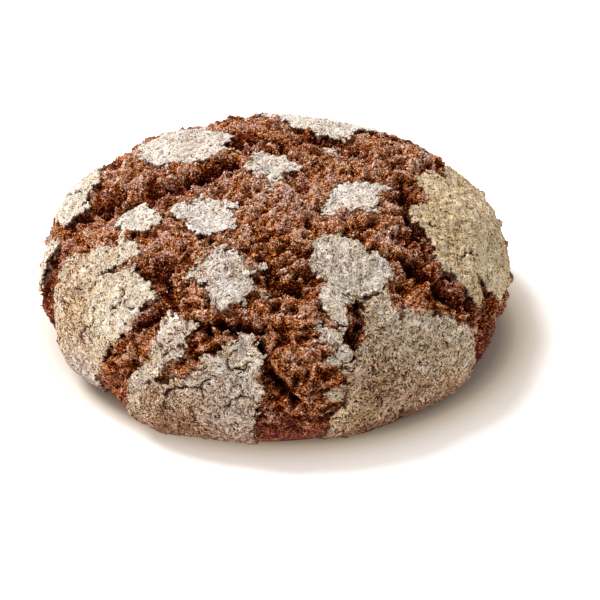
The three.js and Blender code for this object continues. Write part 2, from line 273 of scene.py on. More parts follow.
# Places where flour dust lies on the crumb: place on the crust map, radius, how much
DUSTED = [
    ((54, -31), 6, 1.2), ((1, -21), 5, 1), ((39, 20), 5, 1), ((-10, -53), 6, 1), ((-26, 7), 8, 1),
    ((-50, 10), 7, 1), ((4, -86), 9, 0.3), ((-12, 34), 6, 0.3), ((36, 34), 6, 1), ((33, -22), 4, 1),
    ((-44, 36), 6, 1), ((-70, 40), 7, 1), ((-28, 72), 7, 1), ((14, 76), 7, 1), ((66, 42), 6, 1),
    ((0, -9), 9, 1.6), ((-34, -27), 5, 0.8), ((-43, 8), 8, 1.6),
]

# Places where the crumb is darker: most along fissures and pores as painted shade, a few burnt beside the
# crags. Each is a place on the crust map, radius, how much darker
SCORCHED_AND_SHADED = [
    ((-80, -12), 12, 0.6), ((4, -84), 13, 0.15), ((57, -32), 7, 0.3), ((-54, 4), 7, 0.3),
    ((75, -30), 9, 0.35), ((45, -32), 6, 0.4), ((-34, 0), 7, 0.2), ((-18, 6), 6, 0.15),
    ((44, -18), 6, 0.25), ((-12, -55), 8, 0.2), ((-36, -33), 5, 0.25), ((13, 23), 8, 0.3),
    ((-10, 25), 6, 0.25), ((3, 23), 6, 0.25), ((40, 38), 9, 0.3), ((38, 2), 5, 0.25),
    ((-33, -49), 6, 0.2), ((3, -44), 7, 0.05), ((-20, 62), 9, 0.3), ((18, 72), 9, 0.3),
    ((-70, 34), 9, 0.3), ((66, 42), 9, 0.3),
]


def crust_profile():
    """Radius, height, way from the crown and area above, from the crown to the edge of the base."""
    slope = np.linspace(math.pi / 2, 0, PROFILE_STEPS)
    out = np.cos(slope).clip(0) ** (2 / DOME_POWER)
    up = np.sin(slope).clip(0) ** (2 / DOME_POWER)
    drop = GIRTH_HEIGHT / (1 - (BASE_RADIUS / GIRTH_RADIUS) ** FLANK_POWER) ** (1 / FLANK_POWER)
    low = np.linspace(GIRTH_HEIGHT, 0, PROFILE_STEPS)[1:]
    tuck = (1 - ((GIRTH_HEIGHT - low) / drop) ** FLANK_POWER) ** (1 / FLANK_POWER)
    radius = GIRTH_RADIUS * np.concatenate([out, tuck])
    height = np.concatenate([GIRTH_HEIGHT + (HEIGHT - GIRTH_HEIGHT) * up, low])
    step = np.hypot(np.diff(radius), np.diff(height))
    way = np.concatenate([[0], np.cumsum(step)])
    area = np.concatenate([[0], np.cumsum(step * (radius[1:] + radius[:-1]) * math.pi)])
    return radius, height, way, area


def outline_at(azimuth):
    """How far the outline stands out, as a share of the girth's radius."""
    share = np.ones_like(azimuth)
    for centre, push, spread in SWELLS:
        apart = (np.degrees(azimuth) - centre + 180) % 360 - 180
        share += push / GIRTH_RADIUS * np.exp(-((apart / spread) ** 2))
    return share


def smooth_step(value, low, high):
    """0 at low and 1 at high, which may be the smaller one, with a smooth change between them."""
    share = np.clip((value - low) / (high - low), 0, 1)
    return share * share * (3 - 2 * share)


def waves(points, size, height, seed):
    """Uneven waves of about one length and height, running every way through the dough."""
    total = np.zeros(len(points))
    for i in range(WAVE_COUNT):
        up = 1 - (2 * i + 1) / WAVE_COUNT
        turn = GOLDEN_ANGLE * (i + seed)
        across = math.sqrt(1 - up * up)
        along = points @ np.array([across * math.cos(turn), across * math.sin(turn), up])
        length = size * (WAVE_SHORTEST + WAVE_SPREAD * ((i * WAVE_STRIDE) % WAVE_COUNT) / WAVE_COUNT)
        total += np.sin(2 * math.pi * along / length + GOLDEN_ANGLE * i * (i + seed))
    return height * (total / math.sqrt(WAVE_COUNT / 2))


def cloud(points, size, seed):
    """Cloudy noise of about one size, between about -1 and 1."""
    shift = CLOUD_SHIFT * seed
    return np.array([noise.noise(Vector(point) + shift) for point in points / size])


def torn_ridges(points, size):
    """Sharp twisted ridges with round valleys between them, 0 on average and mostly between -1 and 1.5."""
    height = np.zeros(len(points))
    for i, point in enumerate(points / size):
        spot = Vector(point)
        spot += RIDGE_TWIST * noise.noise_vector(spot * RIDGE_TWIST_RATE)
        height[i] = noise.ridged_multi_fractal(spot, *RIDGE_NOISE)
    return (height - height.mean()) / height.std()


def round_hollows(points, spacing, radius):
    """How far each point is sunk in a hollow, and how far it is on the wall round one, both from 0 to 1."""
    sunk = np.zeros(len(points))
    wall = np.zeros(len(points))
    for i, point in enumerate(points):
        spot = Vector(point)
        spot += HOLLOW_SKEW * noise.noise_vector(spot / HOLLOW_SKEW_LENGTH)
        near, centres = noise.voronoi(spot / spacing)
        size = radius * (1 + HOLLOW_UNEVEN * noise.noise(centres[0] * HOLLOW_SHUFFLE))
        out = near[0] * spacing / size
        sunk[i] = math.exp(-(out ** HOLLOW_STEEPNESS))
        wall[i] = math.exp(-(((out - HOLLOW_WALL_PLACE) / HOLLOW_WALL_WIDTH) ** 2))
    patches = cloud(points, HOLLOW_PATCH_SIZE, HOLLOW_PATCH_SEED + spacing)
    thick = smooth_step(patches, *HOLLOW_PATCH_EDGE)
    return sunk * thick, wall * thick


def distance_to_path(place, path):
    """Distance from places on the crust map to a path of straight stretches."""
    nearest = np.full(len(place), np.inf)
    for start, end in zip(np.array(path[:-1], float), np.array(path[1:], float)):
        stretch = end - start
        share = np.clip((place - start) @ stretch / (stretch @ stretch), 0, 1)
        nearest = np.minimum(nearest, np.linalg.norm(place - start - share[:, None] * stretch, axis=1))
    return nearest


def spots_on(place, spots):
    """How strongly places on the crust map lie in soft round spots."""
    strength = np.zeros(len(place))
    for spot, radius, most in spots:
        apart = np.sum((place - np.array(spot)) ** 2, axis=1)
        strength = np.maximum(strength, most * np.exp(-apart / radius ** 2))
    return strength


def plate_edges(place):
    """Distance from the nearest plate's edge, negative on a plate, and how brown and yellow it is there."""
    gap = np.full(len(place), np.inf)
    brown = np.zeros(len(place))
    yellow = np.zeros(len(place))
    for plate_brown, plate_yellow, outline in PLATES.values():
        inside = np.zeros(len(place), bool)
        for (u, v), (next_u, next_v) in zip(outline, outline[1:] + outline[:1]):
            if v != next_v:
                crossing = u + (place[:, 1] - v) / (next_v - v) * (next_u - u)
                inside ^= ((v > place[:, 1]) != (next_v > place[:, 1])) & (place[:, 0] < crossing)
        edge = distance_to_path(place, outline + outline[:1])
        edge = np.where(inside, -edge, edge)
        brown = np.where(edge < gap, plate_brown, brown)
        yellow = np.where(edge < gap, plate_yellow, yellow)
        gap = np.minimum(gap, edge)
    for spot, radius, more_brown, more_yellow in STAINS_AND_PAINTED_LIGHT:
        share = np.exp(-np.sum((place - np.array(spot)) ** 2, axis=1) / radius ** 2)
        brown += more_brown * share
        yellow += more_yellow * share
    return gap, brown, yellow


class Crust:
    """The plain form for directions from the loaf's middle, and what lies on it there."""

    # Share of a ball's surface, from the top, that becomes the crust: the rest becomes the base
    CRUST_SHARE = 0.94

    def __init__(self, directions):
        radii, heights, ways, areas = crust_profile()
        azimuth = np.arctan2(directions[:, 1], directions[:, 0])
        from_top = (1 - directions[:, 2]) / 2
        self.aside = np.stack([np.cos(azimuth), np.sin(azimuth)], 1)
        outline = outline_at(azimuth)
        area = np.minimum(from_top / self.CRUST_SHARE, 1) * areas[-1]
        self.way = np.interp(area, areas, ways)
        self.fade = smooth_step(ways[-1] - self.way, 0, BASE_FADE)
        radius = np.interp(self.way, ways, radii) * outline
        self.points = np.column_stack([self.aside * radius[:, None], np.interp(self.way, ways, heights)])
        normal_out = -np.interp(self.way, ways, np.gradient(heights, ways))
        normal_up = np.interp(self.way, ways, np.gradient(radii, ways))
        self.normals = np.column_stack([self.aside * normal_out[:, None], normal_up])
        self.on_base = from_top > self.CRUST_SHARE
        base_share = np.sqrt(np.clip((1 - from_top) / (1 - self.CRUST_SHARE), 0, 1))
        self.base_points = self.aside * (BASE_RADIUS * outline * base_share)[:, None]
        self.place = self.aside * self.way[:, None]
        for length, height, seed in TEARS:
            self.place[:, 0] += waves(self.points, length, height, seed)
            self.place[:, 1] += waves(self.points, length, height, seed + 1)
        self.gap, self.brown, self.yellow = plate_edges(self.place)
        self.crag = spots_on(self.place, CRAGS)

    def lifted(self, rise):
        """Points of the form raised by a height, which fades out at the base."""
        rise = (rise + waves(self.points, *SAG)) * self.fade
        points = self.points + self.normals * rise[:, None]
        points[:, 2] = np.maximum(0, points[:, 2])
        points[self.on_base, :2] = self.base_points[self.on_base]
        points[self.on_base, 2] = 0
        return points


def crumb_relief(crust):
    """Height of the crumb, how far it is hollowed, and how far each spot stands out of what is round it."""
    points = crust.points
    hollow = np.zeros(len(points))
    share, size, seed = FISSURE_UNEVEN
    uneven = 1 + share * cloud(points, size, seed)
    for path, depth, reach in FISSURES:
        out = distance_to_path(crust.place, path) / (reach * uneven)
        hollow = np.maximum(hollow, depth * np.exp(-(out ** 2)))
    share, size, seed = PORE_UNEVEN
    uneven = 1 + share * cloud(points, size, seed)
    for place, radius, depth in PORES:
        out = np.linalg.norm(crust.place - np.array(place), axis=1) * uneven / radius
        hollow = np.maximum(hollow, depth * np.exp(-(out ** PORE_STEEPNESS)))
    stand = RIDGE[1] * torn_ridges(points, RIDGE[0])
    for spacing, radius, depth in HOLLOWS:
        sunk, wall = round_hollows(points, spacing, radius)
        hollow += depth * sunk
        stand += HOLLOW_WALL * wall
    dip = CRUMB_REST + (CRUMB_DIP - CRUMB_REST) * np.exp(-np.maximum(crust.gap, 0) / CRUMB_DIP_REACH)
    dip *= smooth_step(cloud(points, *DIP_PATCH), *DIP_PATCH_EDGE)
    crumb = waves(points, *CRAG) + waves(points, *KNOB) - dip - hollow + stand
    crumb += VALLEY[1] * torn_ridges(points, VALLEY[0]) + crust.crag
    bare = smooth_step(crust.gap, -EDGE_WIDTH, 0) * smooth_step(crust.way, SMOOTH_FOOT[1], SMOOTH_FOOT[0])
    return crumb * bare - CRUMB_UNDER_SKIN * (1 - bare), hollow * bare, stand * bare


def unit_ball(subdivisions, cuts, keep):
    """The bmesh of a ball, finer where keep says so of the crust there, with a ring round the base."""
    ball = bmesh.new()
    bmesh.ops.create_icosphere(ball, subdivisions=subdivisions, radius=1)
    middles = np.array([face.calc_center_median().normalized() for face in ball.faces])
    fine = keep(Crust(middles))
    edges = dict.fromkeys(edge for face, wanted in zip(ball.faces, fine) if wanted for edge in face.edges)
    bmesh.ops.subdivide_edges(ball, edges=list(edges), cuts=cuts, use_grid_fill=True)
    bmesh.ops.triangulate(ball, faces=ball.faces[:])
    for vert in ball.verts:
        vert.co.normalize()
    every_part = ball.verts[:] + ball.edges[:] + ball.faces[:]
    base_ring = (0, 0, 1 - 2 * Crust.CRUST_SHARE)
    bmesh.ops.bisect_plane(ball, geom=every_part, plane_co=base_ring, plane_no=(0, 0, 1))
    bmesh.ops.triangulate(ball, faces=ball.faces[:])
    return ball


def set_facts(shape, facts):
    """Keeps values at a bmesh's corners, for the finish to read."""
    for fact, values in facts.items():
        layer = shape.verts.layers.float.new(fact)
        for vert, value in zip(shape.verts, values):
            vert[layer] = value


def finished_mesh(name, shape):
    """A mesh in metres from a bmesh in millimetres."""
    bmesh.ops.scale(shape, vec=(MM, MM, MM), verts=shape.verts[:])
    mesh = bpy.data.meshes.new(name)
    shape.to_mesh(mesh)
    shape.free()
    return mesh


def piece_of(name, mesh, material):
    """Puts a mesh with its finish into the scene, on the loaf's body."""
    mesh.materials.append(material)
    piece = bpy.data.objects.new(name, mesh)
    bpy.context.scene.collection.objects.link(piece)
    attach(piece, "root")
    return piece


class Shade:
    """A socket of a material, whose operators add Math nodes."""

    # Stretched grains also bend over this many of their sizes
    LONG_BEND = 16

    # How steeply crests rise from the net, and how far it is bent
    CREST_STEEPNESS = 6
    CREST_BEND = 0.4

    def __init__(self, tree, socket=None):
        self.tree = tree
        self.socket = socket

    def node(self, kind, settings=None, inputs=None, output=0):
        """Adds any node: its settings first, then the values or links of its sockets."""
        made = self.tree.nodes.new(kind)
        for key, value in (settings or {}).items():
            if key == "stops":
                while len(made.color_ramp.elements) < len(value):
                    made.color_ramp.elements.new(1)
                for element, (place, colour) in zip(made.color_ramp.elements, value):
                    element.position = place
                    element.color = (*colour, 1)
            else:
                setattr(made, key, value)
        for key, value in (inputs or {}).items():
            if isinstance(value, Shade):
                self.tree.links.new(value.socket, made.inputs[key])
            else:
                made.inputs[key].default_value = value
        return Shade(self.tree, made.outputs[output])

    def math(self, operation, first, second):
        return self.node("ShaderNodeMath", {"operation": operation}, {0: first, 1: second})

    def __add__(self, other):
        return self.math("ADD", self, other)

    __radd__ = __add__

    def __sub__(self, other):
        return self.math("SUBTRACT", self, other)

    def __rsub__(self, other):
        return self.math("SUBTRACT", other, self)

    def __mul__(self, other):
        return self.math("MULTIPLY", self, other)

    __rmul__ = __mul__

    def step(self, low, high):
        """0 at low and 1 at high, which may be the smaller one, with a smooth change between them."""
        settings = {"interpolation_type": "SMOOTHSTEP"}
        return self.node("ShaderNodeMapRange", settings, {"Value": self, "From Min": low, "From Max": high})

    def mix(self, bare, covered):
        """A colour that goes from bare to covered as this value goes from 0 to 1."""
        bare, covered = (colour if isinstance(colour, Shade) else (*colour, 1) for colour in (bare, covered))
        settings = {"data_type": "RGBA"}
        return self.node("ShaderNodeMix", settings, {0: self, 6: bare, 7: covered}, output=2)

    def ramp(self, stops):
        """A colour from a list of values and colours."""
        return self.node("ShaderNodeValToRGB", {"stops": stops}, {0: self})

    def noise(self, size, distortion=0.0):
        """Cloudy noise with patches of about a size in millimetres, on the piece's own coordinates."""
        place = self.node("ShaderNodeTexCoord", output="Object")
        inputs = {"Vector": place, "Scale": 1 / (size * MM), "Distortion": distortion}
        return self.node("ShaderNodeTexNoise", inputs=inputs)

    def patchy(self, patches):
        """This value with cloudy patches in it, each a size in millimetres and a strength."""
        value = self
        for size, strength in patches:
            value = value + (self.noise(size) - 0.5) * strength
        return value

    def cells(self, size, warp=0.5, stretch=1.0):
        """Uneven grains of a size in millimetres: the way from a grain's middle, and three draws for each."""
        place = self.node("ShaderNodeTexCoord", output="Object")
        for reach in (1, self.LONG_BEND) if stretch > 1 else (1,):
            inputs = {"Vector": place, "Scale": 1 / (size * reach * MM), "Detail": 1.0}
            push = self.node("ShaderNodeTexNoise", inputs=inputs, output="Color")
            push = self.node("ShaderNodeVectorMath", {"operation": "SUBTRACT"}, {0: push, 1: (0.5, 0.5, 0.5)})
            inputs = {0: push, "Scale": warp * size * reach * MM * 2}
            push = self.node("ShaderNodeVectorMath", {"operation": "SCALE"}, inputs)
            place = self.node("ShaderNodeVectorMath", {"operation": "ADD"}, {0: place, 1: push})
        inputs = {0: place, 1: (1, 1 / stretch, 1)}
        place = self.node("ShaderNodeVectorMath", {"operation": "MULTIPLY"}, inputs)
        inputs = {"Vector": place, "Scale": 1 / (size * MM)}
        from_middle = self.node("ShaderNodeTexVoronoi", inputs=inputs)
        colour = Shade(self.tree, from_middle.socket.node.outputs["Color"])
        draw = self.node("ShaderNodeSeparateColor", inputs={0: colour})
        second_draw, third_draw = (Shade(self.tree, draw.socket.node.outputs[i]) for i in (1, 2))
        return from_middle, draw, second_draw, third_draw

    def ridges(self, size):
        """Thin crests in a net with meshes of a size in millimetres: about 0 in a mesh and 1 on a crest."""
        level = self.noise(size, distortion=self.CREST_BEND) - 0.5
        return 1 - self.math("ABSOLUTE", level, 0) * self.CREST_STEEPNESS

    def bump(self, depth):
        """Normals for the relief that this value gives, with a depth in millimetres."""
        return self.node("ShaderNodeBump", inputs={"Strength": 1.0, "Distance": depth * MM, "Height": self})

    def attribute(self, name):
        return self.node("ShaderNodeAttribute", {"attribute_name": name}, output="Fac")


DRY_ROUGHNESS = 0.9
DRY_SHINE = 0.05


def new_material(name):
    """A dry, matt material with its principled shader and a Shade to build on."""
    material = bpy.data.materials.new(name)
    material.use_nodes = True
    shader = material.node_tree.nodes["Principled BSDF"]
    shader.inputs["Roughness"].default_value = DRY_ROUGHNESS
    shader.inputs["Specular IOR Level"].default_value = DRY_SHINE
    return material, shader, Shade(material.node_tree)


def plug(shade, socket):
    shade.tree.links.new(shade.socket, socket)


# The crumb's mesh: divisions of the ball, cuts where it is fine, and how far under the skin that reaches
CRUMB_DIVISIONS = 5
CRUMB_CUTS = 6
FINE_UNDER_SKIN = -1.5

# How dark a crag is for each millimetre that it stands out
BURNT_CRAG = 0.5


def shows_crumb(crust):
    """Whether the crumb shows there, or lies just under the edge of the skin."""
    return (crust.gap > FINE_UNDER_SKIN) & ~crust.on_base


# Without a seed the noise that twists ridges and hollows starts from the clock
noise.seed_set(TWIST_SEED)
crumb_ball = unit_ball(CRUMB_DIVISIONS, CRUMB_CUTS, shows_crumb)
crumb_crust = Crust(np.array([vert.co for vert in crumb_ball.verts]))
crumb_rise, crumb_hollow, crumb_stand = crumb_relief(crumb_crust)
rough_draw = np.random.default_rng(CRUMB_ROUGH_SEED)
roughened = (crumb_crust.gap > CRUMB_ROUGH_FROM) & (crumb_crust.way < SMOOTH_FOOT[1])
crumb_rise += CRUMB_ROUGH * rough_draw.uniform(-1, 1, len(crumb_rise)) * roughened
crumb_points = crumb_crust.lifted(crumb_rise)
for vert, point in zip(crumb_ball.verts, crumb_points):
    vert.co = point
# The dark fact is burnt crags, and painted shade along fissures and pores
crumb_facts = {
    "gap": crumb_crust.gap, "deep": crumb_hollow, "stand": crumb_stand, "way": crumb_crust.way,
    "dust": spots_on(crumb_crust.place, DUSTED),
    "dark": spots_on(crumb_crust.place, SCORCHED_AND_SHADED) + BURNT_CRAG * crumb_crust.crag,
}
set_facts(crumb_ball, crumb_facts)
crumb_ball.normal_update()
crumb_normals = np.array([vert.normal for vert in crumb_ball.verts])
crumb_corners = np.array([[vert.index for vert in face.verts] for face in crumb_ball.faces])

# From the dark of a crease to a bright crest: clean crumb, crumb with flour dust on it, and rusty grains
AMBER_TONES = [
    (0.0, (0.040, 0.0032, 0.0004)),
    (0.28, (0.145, 0.0172, 0.0028)),
    (0.52, (0.40, 0.086, 0.0095)),
    (0.76, (0.70, 0.240, 0.040)),
    (0.92, (0.88, 0.45, 0.165)),
    (1.0, (0.97, 0.74, 0.48)),
]
PLUM_TONES = [
    (0.0, (0.034, 0.0030, 0.0013)),
    (0.28, (0.135, 0.0170, 0.0055)),
    (0.52, (0.30, 0.056, 0.020)),
    (0.76, (0.55, 0.170, 0.072)),
    (0.92, (0.80, 0.42, 0.26)),
    (1.0, (0.97, 0.80, 0.70)),
]
RUST_TONES = [
    (0.0, (0.036, 0.0024, 0.0007)),
    (0.28, (0.155, 0.0140, 0.0036)),
    (0.52, (0.39, 0.052, 0.014)),
    (0.76, (0.70, 0.180, 0.060)),
    (0.92, (0.88, 0.40, 0.22)),
    (1.0, (0.97, 0.70, 0.55)),
]
FOOT_BROWN = (0.15, 0.060, 0.042)
FOOT_PLUM = (0.20, 0.054, 0.058)
DUST_CREAM = (0.66, 0.50, 0.36)

# What makes the crumb lighter or darker: standing out is partly flour dust and partly painted highlight, and
# lying deep or beside a plate is painted shade. Patches, here and below, are each a size and a strength
STAND_DUST_AND_HIGHLIGHT = 0.26
DEEP_PAINTED_SHADE = 0.055
BESIDE_PLATE = (1.5, 0.0)
BESIDE_PLATE_PAINTED_SHADE = 0.1
DUST_LIGHT = 0.12
CRUMB_PATCHES = [(9, 0.3), (2.2, 0.35)]

# What makes it dusty, from 0 for clean to 1 for dusty
DUSTY_REST = 0.95
DUSTY_STAND = 2.0
DUSTY_SPOT = 0.8
DUSTY_PATCHES = [(6, 1.8), (1.5, 1.8)]

# Which draws make a grain rusty, and how rusty
RUSTY_DRAWS = (0.5, 0.9)
RUSTY_SHARE = 0.45

# The foot and the base, by their way from the crown: plum in the open, brown under the skin and on the base
FOOT_WAYS = (78, 97)
FOOT_PATCHES = [(5, 14)]
FOOT_SHARE = 0.7
FOOT_UNDER_SKIN = (0.0, -1.5)
BASE_WAYS = (97, 101)

# Flour that fell on the crumb, most of it beside a plate
FALLEN_BESIDE = (3.0, 0.0)
FALLEN_BESIDE_MORE = 0.9
FALLEN_STAND = 0.35
FALLEN_DEEP = 0.3
FALLEN_PATCHES = [(0.9, 2.6)]
FALLEN_EDGE = (0.8, 1.2)
FALLEN_SHARE = 0.5


def crumb_colour(shade, tone, dusty, rusty):
    """Colour of the crumb for a tone: painted shade where it is deep and beside a plate, lighter where it
    stands out, partly as painted highlight, and dusty on crests.
    """
    stand = shade.attribute("stand")
    deep = shade.attribute("deep")
    gap = shade.attribute("gap")
    way = shade.attribute("way")
    dust = shade.attribute("dust")
    # Lighter where it stands out, partly as painted highlight, and painted shade where it lies deep and
    # beside a plate
    tone = tone + stand * STAND_DUST_AND_HIGHLIGHT - deep * deep * DEEP_PAINTED_SHADE - gap.step(*BESIDE_PLATE) * BESIDE_PLATE_PAINTED_SHADE
    tone = (tone - shade.attribute("dark")).patchy(CRUMB_PATCHES) + dust * DUST_LIGHT
    dusty = (dusty - DUSTY_REST).patchy(DUSTY_PATCHES) + stand * DUSTY_STAND + dust * DUSTY_SPOT
    colour = dusty.step(0, 1).mix(tone.ramp(AMBER_TONES), tone.ramp(PLUM_TONES))
    colour = (rusty.step(*RUSTY_DRAWS) * RUSTY_SHARE).mix(colour, tone.ramp(RUST_TONES))
    base = way.step(*BASE_WAYS)
    foot_colour = shade.math("MAXIMUM", gap.step(*FOOT_UNDER_SKIN), base).mix(FOOT_PLUM, FOOT_BROWN)
    colour = (way.patchy(FOOT_PATCHES).step(*FOOT_WAYS) * FOOT_SHARE).mix(colour, foot_colour)
    fallen = gap.step(*FALLEN_BESIDE) * FALLEN_BESIDE_MORE + stand * FALLEN_STAND - deep * FALLEN_DEEP
    fallen = fallen.patchy(FALLEN_PATCHES).step(*FALLEN_EDGE)
    return (fallen * FALLEN_SHARE * (1 - base)).mix(colour, DUST_CREAM)


# The grains of the crumb and the lace of crests over them: sizes, what they add to the tone, and relief.
# Grains darker at their edges and lace lighter on its crests, as the relief goes, are painted shade and
# painted highlight
GRAIN_SIZE = 0.45
LACE_SIZE = 1.4
CRUMB_TONE = 0.46
GRAIN_EDGE = 0.45
GRAIN_EDGE_SHADE = 0.8
GRAIN_UNEVEN = 0.7
LACE_HIGHLIGHT = 0.6
GRAIN_HEIGHT = 0.7
CRUMB_BUMP = 0.5

crumb_material, shader, shade = new_material("torn_crumb")
middle, draw, second_draw, third_draw = shade.cells(GRAIN_SIZE)
lace = shade.ridges(LACE_SIZE)
tone = CRUMB_TONE + (GRAIN_EDGE - middle) * GRAIN_EDGE_SHADE
tone = tone + (draw - 0.5) * GRAIN_UNEVEN + (lace - 0.5) * LACE_HIGHLIGHT
plug(crumb_colour(shade, tone, second_draw - 0.5, third_draw), shader.inputs["Base Color"])
plug((lace - middle * GRAIN_HEIGHT).bump(CRUMB_BUMP), shader.inputs["Normal"])
crumb_mesh = finished_mesh("rye_crumb", crumb_ball)
rye_crumb = piece_of("rye_crumb", crumb_mesh, crumb_material)
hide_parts("loaf")

# The skin: what is left of the loaf's floured outer skin, thin plates with broken edges that lie on the crumb
# where it did not tear, and curl up a little at their rims.
SKIN_THICKNESS = 0.7
SKIN_LIFT = 0.3
SKIN_CROWN = 0.25
SKIN_CROWN_REACH = 5
RIM_CURL = 0.35
RIM_WIDTH = 1.6

# The skin's mesh: divisions of the ball, cuts where it is fine, and how far past the plates that reaches
SKIN_DIVISIONS = 6
SKIN_CUTS = 2
FINE_PAST_SKIN = 2

# The broken edge of the skin: how far it is pushed out, and its breaks as size, depth and seed
EDGE_SHIFT = 0.5
BREAKS = [(5.0, 1.1, 11), (2.2, 1.3, 12), (0.9, 1.0, 13)]

# Waves in the skin, as length, height and seed
SKIN_WAVES = [(6.0, 0.16, 9), (2.4, 0.13, 10), (1.3, 0.06, 11)]

# Thin cracks in the skin: paths on the crust map
SKIN_CRACKS = [
    [(-57, -30.5), (-53.9, -29.6), (-51.4, -28.1), (-48.2, -29.2), (-45.7, -29.9), (-42.6, -30.8)],
    [(-62.5, -28.3), (-60, -29.4)],
    [(-55.1, -39.2), (-55.7, -42), (-56.7, -43.5), (-60.7, -43.1), (-64.2, -43.1)],
    [(-44.8, -37.5), (-45.4, -40.5), (-46.4, -42.1), (-49.5, -42.4)],
    [(-44.2, -43.6), (-41.5, -44)],
    [(-69, -26.5), (-66.4, -28)],
    [(-80.4, -36.7), (-77.6, -37.6)],
    [(-34, -60.8), (-30, -60)],
    [(-35.5, -70.2), (-31.3, -70.7), (-28, -71.3), (-24.3, -71.4), (-20.5, -71)],
    [(-23.8, -72.5), (-23.2, -75)],
    [(-36, -72.5), (-37, -75.5)],
    [(-15.7, -77.5), (-12, -76.7), (-9, -76.2)],
    [(-14, -64), (-14, -67.3), (-10.7, -68), (-7.5, -67.2)],
    [(21, -46), (24.7, -47.1), (28, -45.4), (31, -43.8)],
    [(48, -75), (53, -78.3)],
    [(35.5, -74.2), (39.2, -74.7)],
    [(61.3, -65.4), (65.5, -65.8)],
    [(56, -18.5), (58.5, -15.8), (61.5, -14)],
    [(46, -10), (48, -10.5)],
    [(-35, 37), (-31, 39)],
    [(-30, 44), (-25, 47)],
    [(-57, 14.5), (-60, 19), (-63.5, 25)],
    [(8, 46), (14, 42), (17, 37)],
    [(-56, 60), (-50, 64), (-48, 70)],
    [(-16, 72), (-8, 74), (-2, 72)],
    [(34, 66), (40, 68), (44, 64)],
]
CRACK_DEPTH = 0.6
CRACK_REACH = 0.5
CRACK_LIP = 0.22
CRACK_BROWN = (0.070, 0.024, 0.013)
TORN_BROWN = (0.22, 0.095, 0.045)
SMALLEST_CHIP = 12


def crack_lines(place):
    """Distance from the nearest crack, and the same with a sign for the side of it."""
    near = np.full(len(place), np.inf)
    side = np.full(len(place), np.inf)
    for path in SKIN_CRACKS:
        for start, end in zip(path[:-1], path[1:]):
            apart = distance_to_path(place, [start, end])
            along = np.subtract(end, start)
            left = along[0] * (place[:, 1] - start[1]) - along[1] * (place[:, 0] - start[0])
            side = np.where(apart < near, np.copysign(apart, left), side)
            near = np.minimum(near, apart)
    return near, side


def skin_height(crust):
    """Height of the skin's upper face over the plain form."""
    rise = SKIN_LIFT + SKIN_CROWN * (1 - np.exp(np.minimum(crust.gap, 0) / SKIN_CROWN_REACH))
    rise += RIM_CURL * np.exp(-((crust.gap / RIM_WIDTH) ** 2))
    for wave in SKIN_WAVES:
        rise += waves(crust.points, *wave)
    near = crack_lines(crust.place)[0]
    rise += CRACK_LIP * np.exp(-(((near - 2 * CRACK_REACH) / CRACK_REACH) ** 2))
    return rise - CRACK_DEPTH * np.exp(-((near / CRACK_REACH) ** 2))


def broken_edge(crust):
    """Distance from the skin's broken edge, negative on the skin."""
    ragged = crust.gap - EDGE_SHIFT
    for size, depth, seed in BREAKS:
        ragged += depth * cloud(crust.points, size, seed)
    return ragged


def drop_small_chips(shape):
    """Deletes scraps of skin of only a few faces."""
    seen = set()
    scraps = []
    for start in shape.faces:
        if start in seen:
            continue
        chip = [start]
        seen.add(start)
        for face in chip:
            for edge in face.edges:
                for beside in edge.link_faces:
                    if beside not in seen:
                        seen.add(beside)
                        chip.append(beside)
        if len(chip) < SMALLEST_CHIP:
            scraps += chip
    bmesh.ops.delete(shape, geom=scraps, context="FACES")


skin_ball = unit_ball(SKIN_DIVISIONS, SKIN_CUTS, lambda crust: crust.gap < FINE_PAST_SKIN)
middles = np.array([face.calc_center_median().normalized() for face in skin_ball.faces])
middle_crust = Crust(middles)
off_skin = (broken_edge(middle_crust) > 0) | middle_crust.on_base
bare_faces = [face for face, off in zip(skin_ball.faces, off_skin) if off]
bmesh.ops.delete(skin_ball, geom=bare_faces, context="FACES")
drop_small_chips(skin_ball)
skin_crust = Crust(np.array([vert.co for vert in skin_ball.verts]))
skin_points = skin_crust.lifted(skin_height(skin_crust))
for vert, point in zip(skin_ball.verts, skin_points):
    vert.co = point
skin_facts = {
    "gap": skin_crust.gap, "way": skin_crust.way, "brown": skin_crust.brown, "yellow": skin_crust.yellow,
}
crack_near, crack_sides = crack_lines(skin_crust.place)
set_facts(skin_ball, {**skin_facts, "crack_near": crack_near, "crack_side": crack_sides})
skin_ball.normal_update()
skin_ball.verts.index_update()
skin_normals = np.array([vert.normal for vert in skin_ball.verts])
skin_corners = np.array([[vert.index for vert in face.verts] for face in skin_ball.faces])
upper_side = set(skin_ball.verts)
bmesh.ops.solidify(skin_ball, geom=skin_ball.faces[:], thickness=SKIN_THICKNESS)
bmesh.ops.triangulate(skin_ball, faces=skin_ball.faces[:])
set_facts(skin_ball, {"under": [float(vert not in upper_side) for vert in skin_ball.verts]})

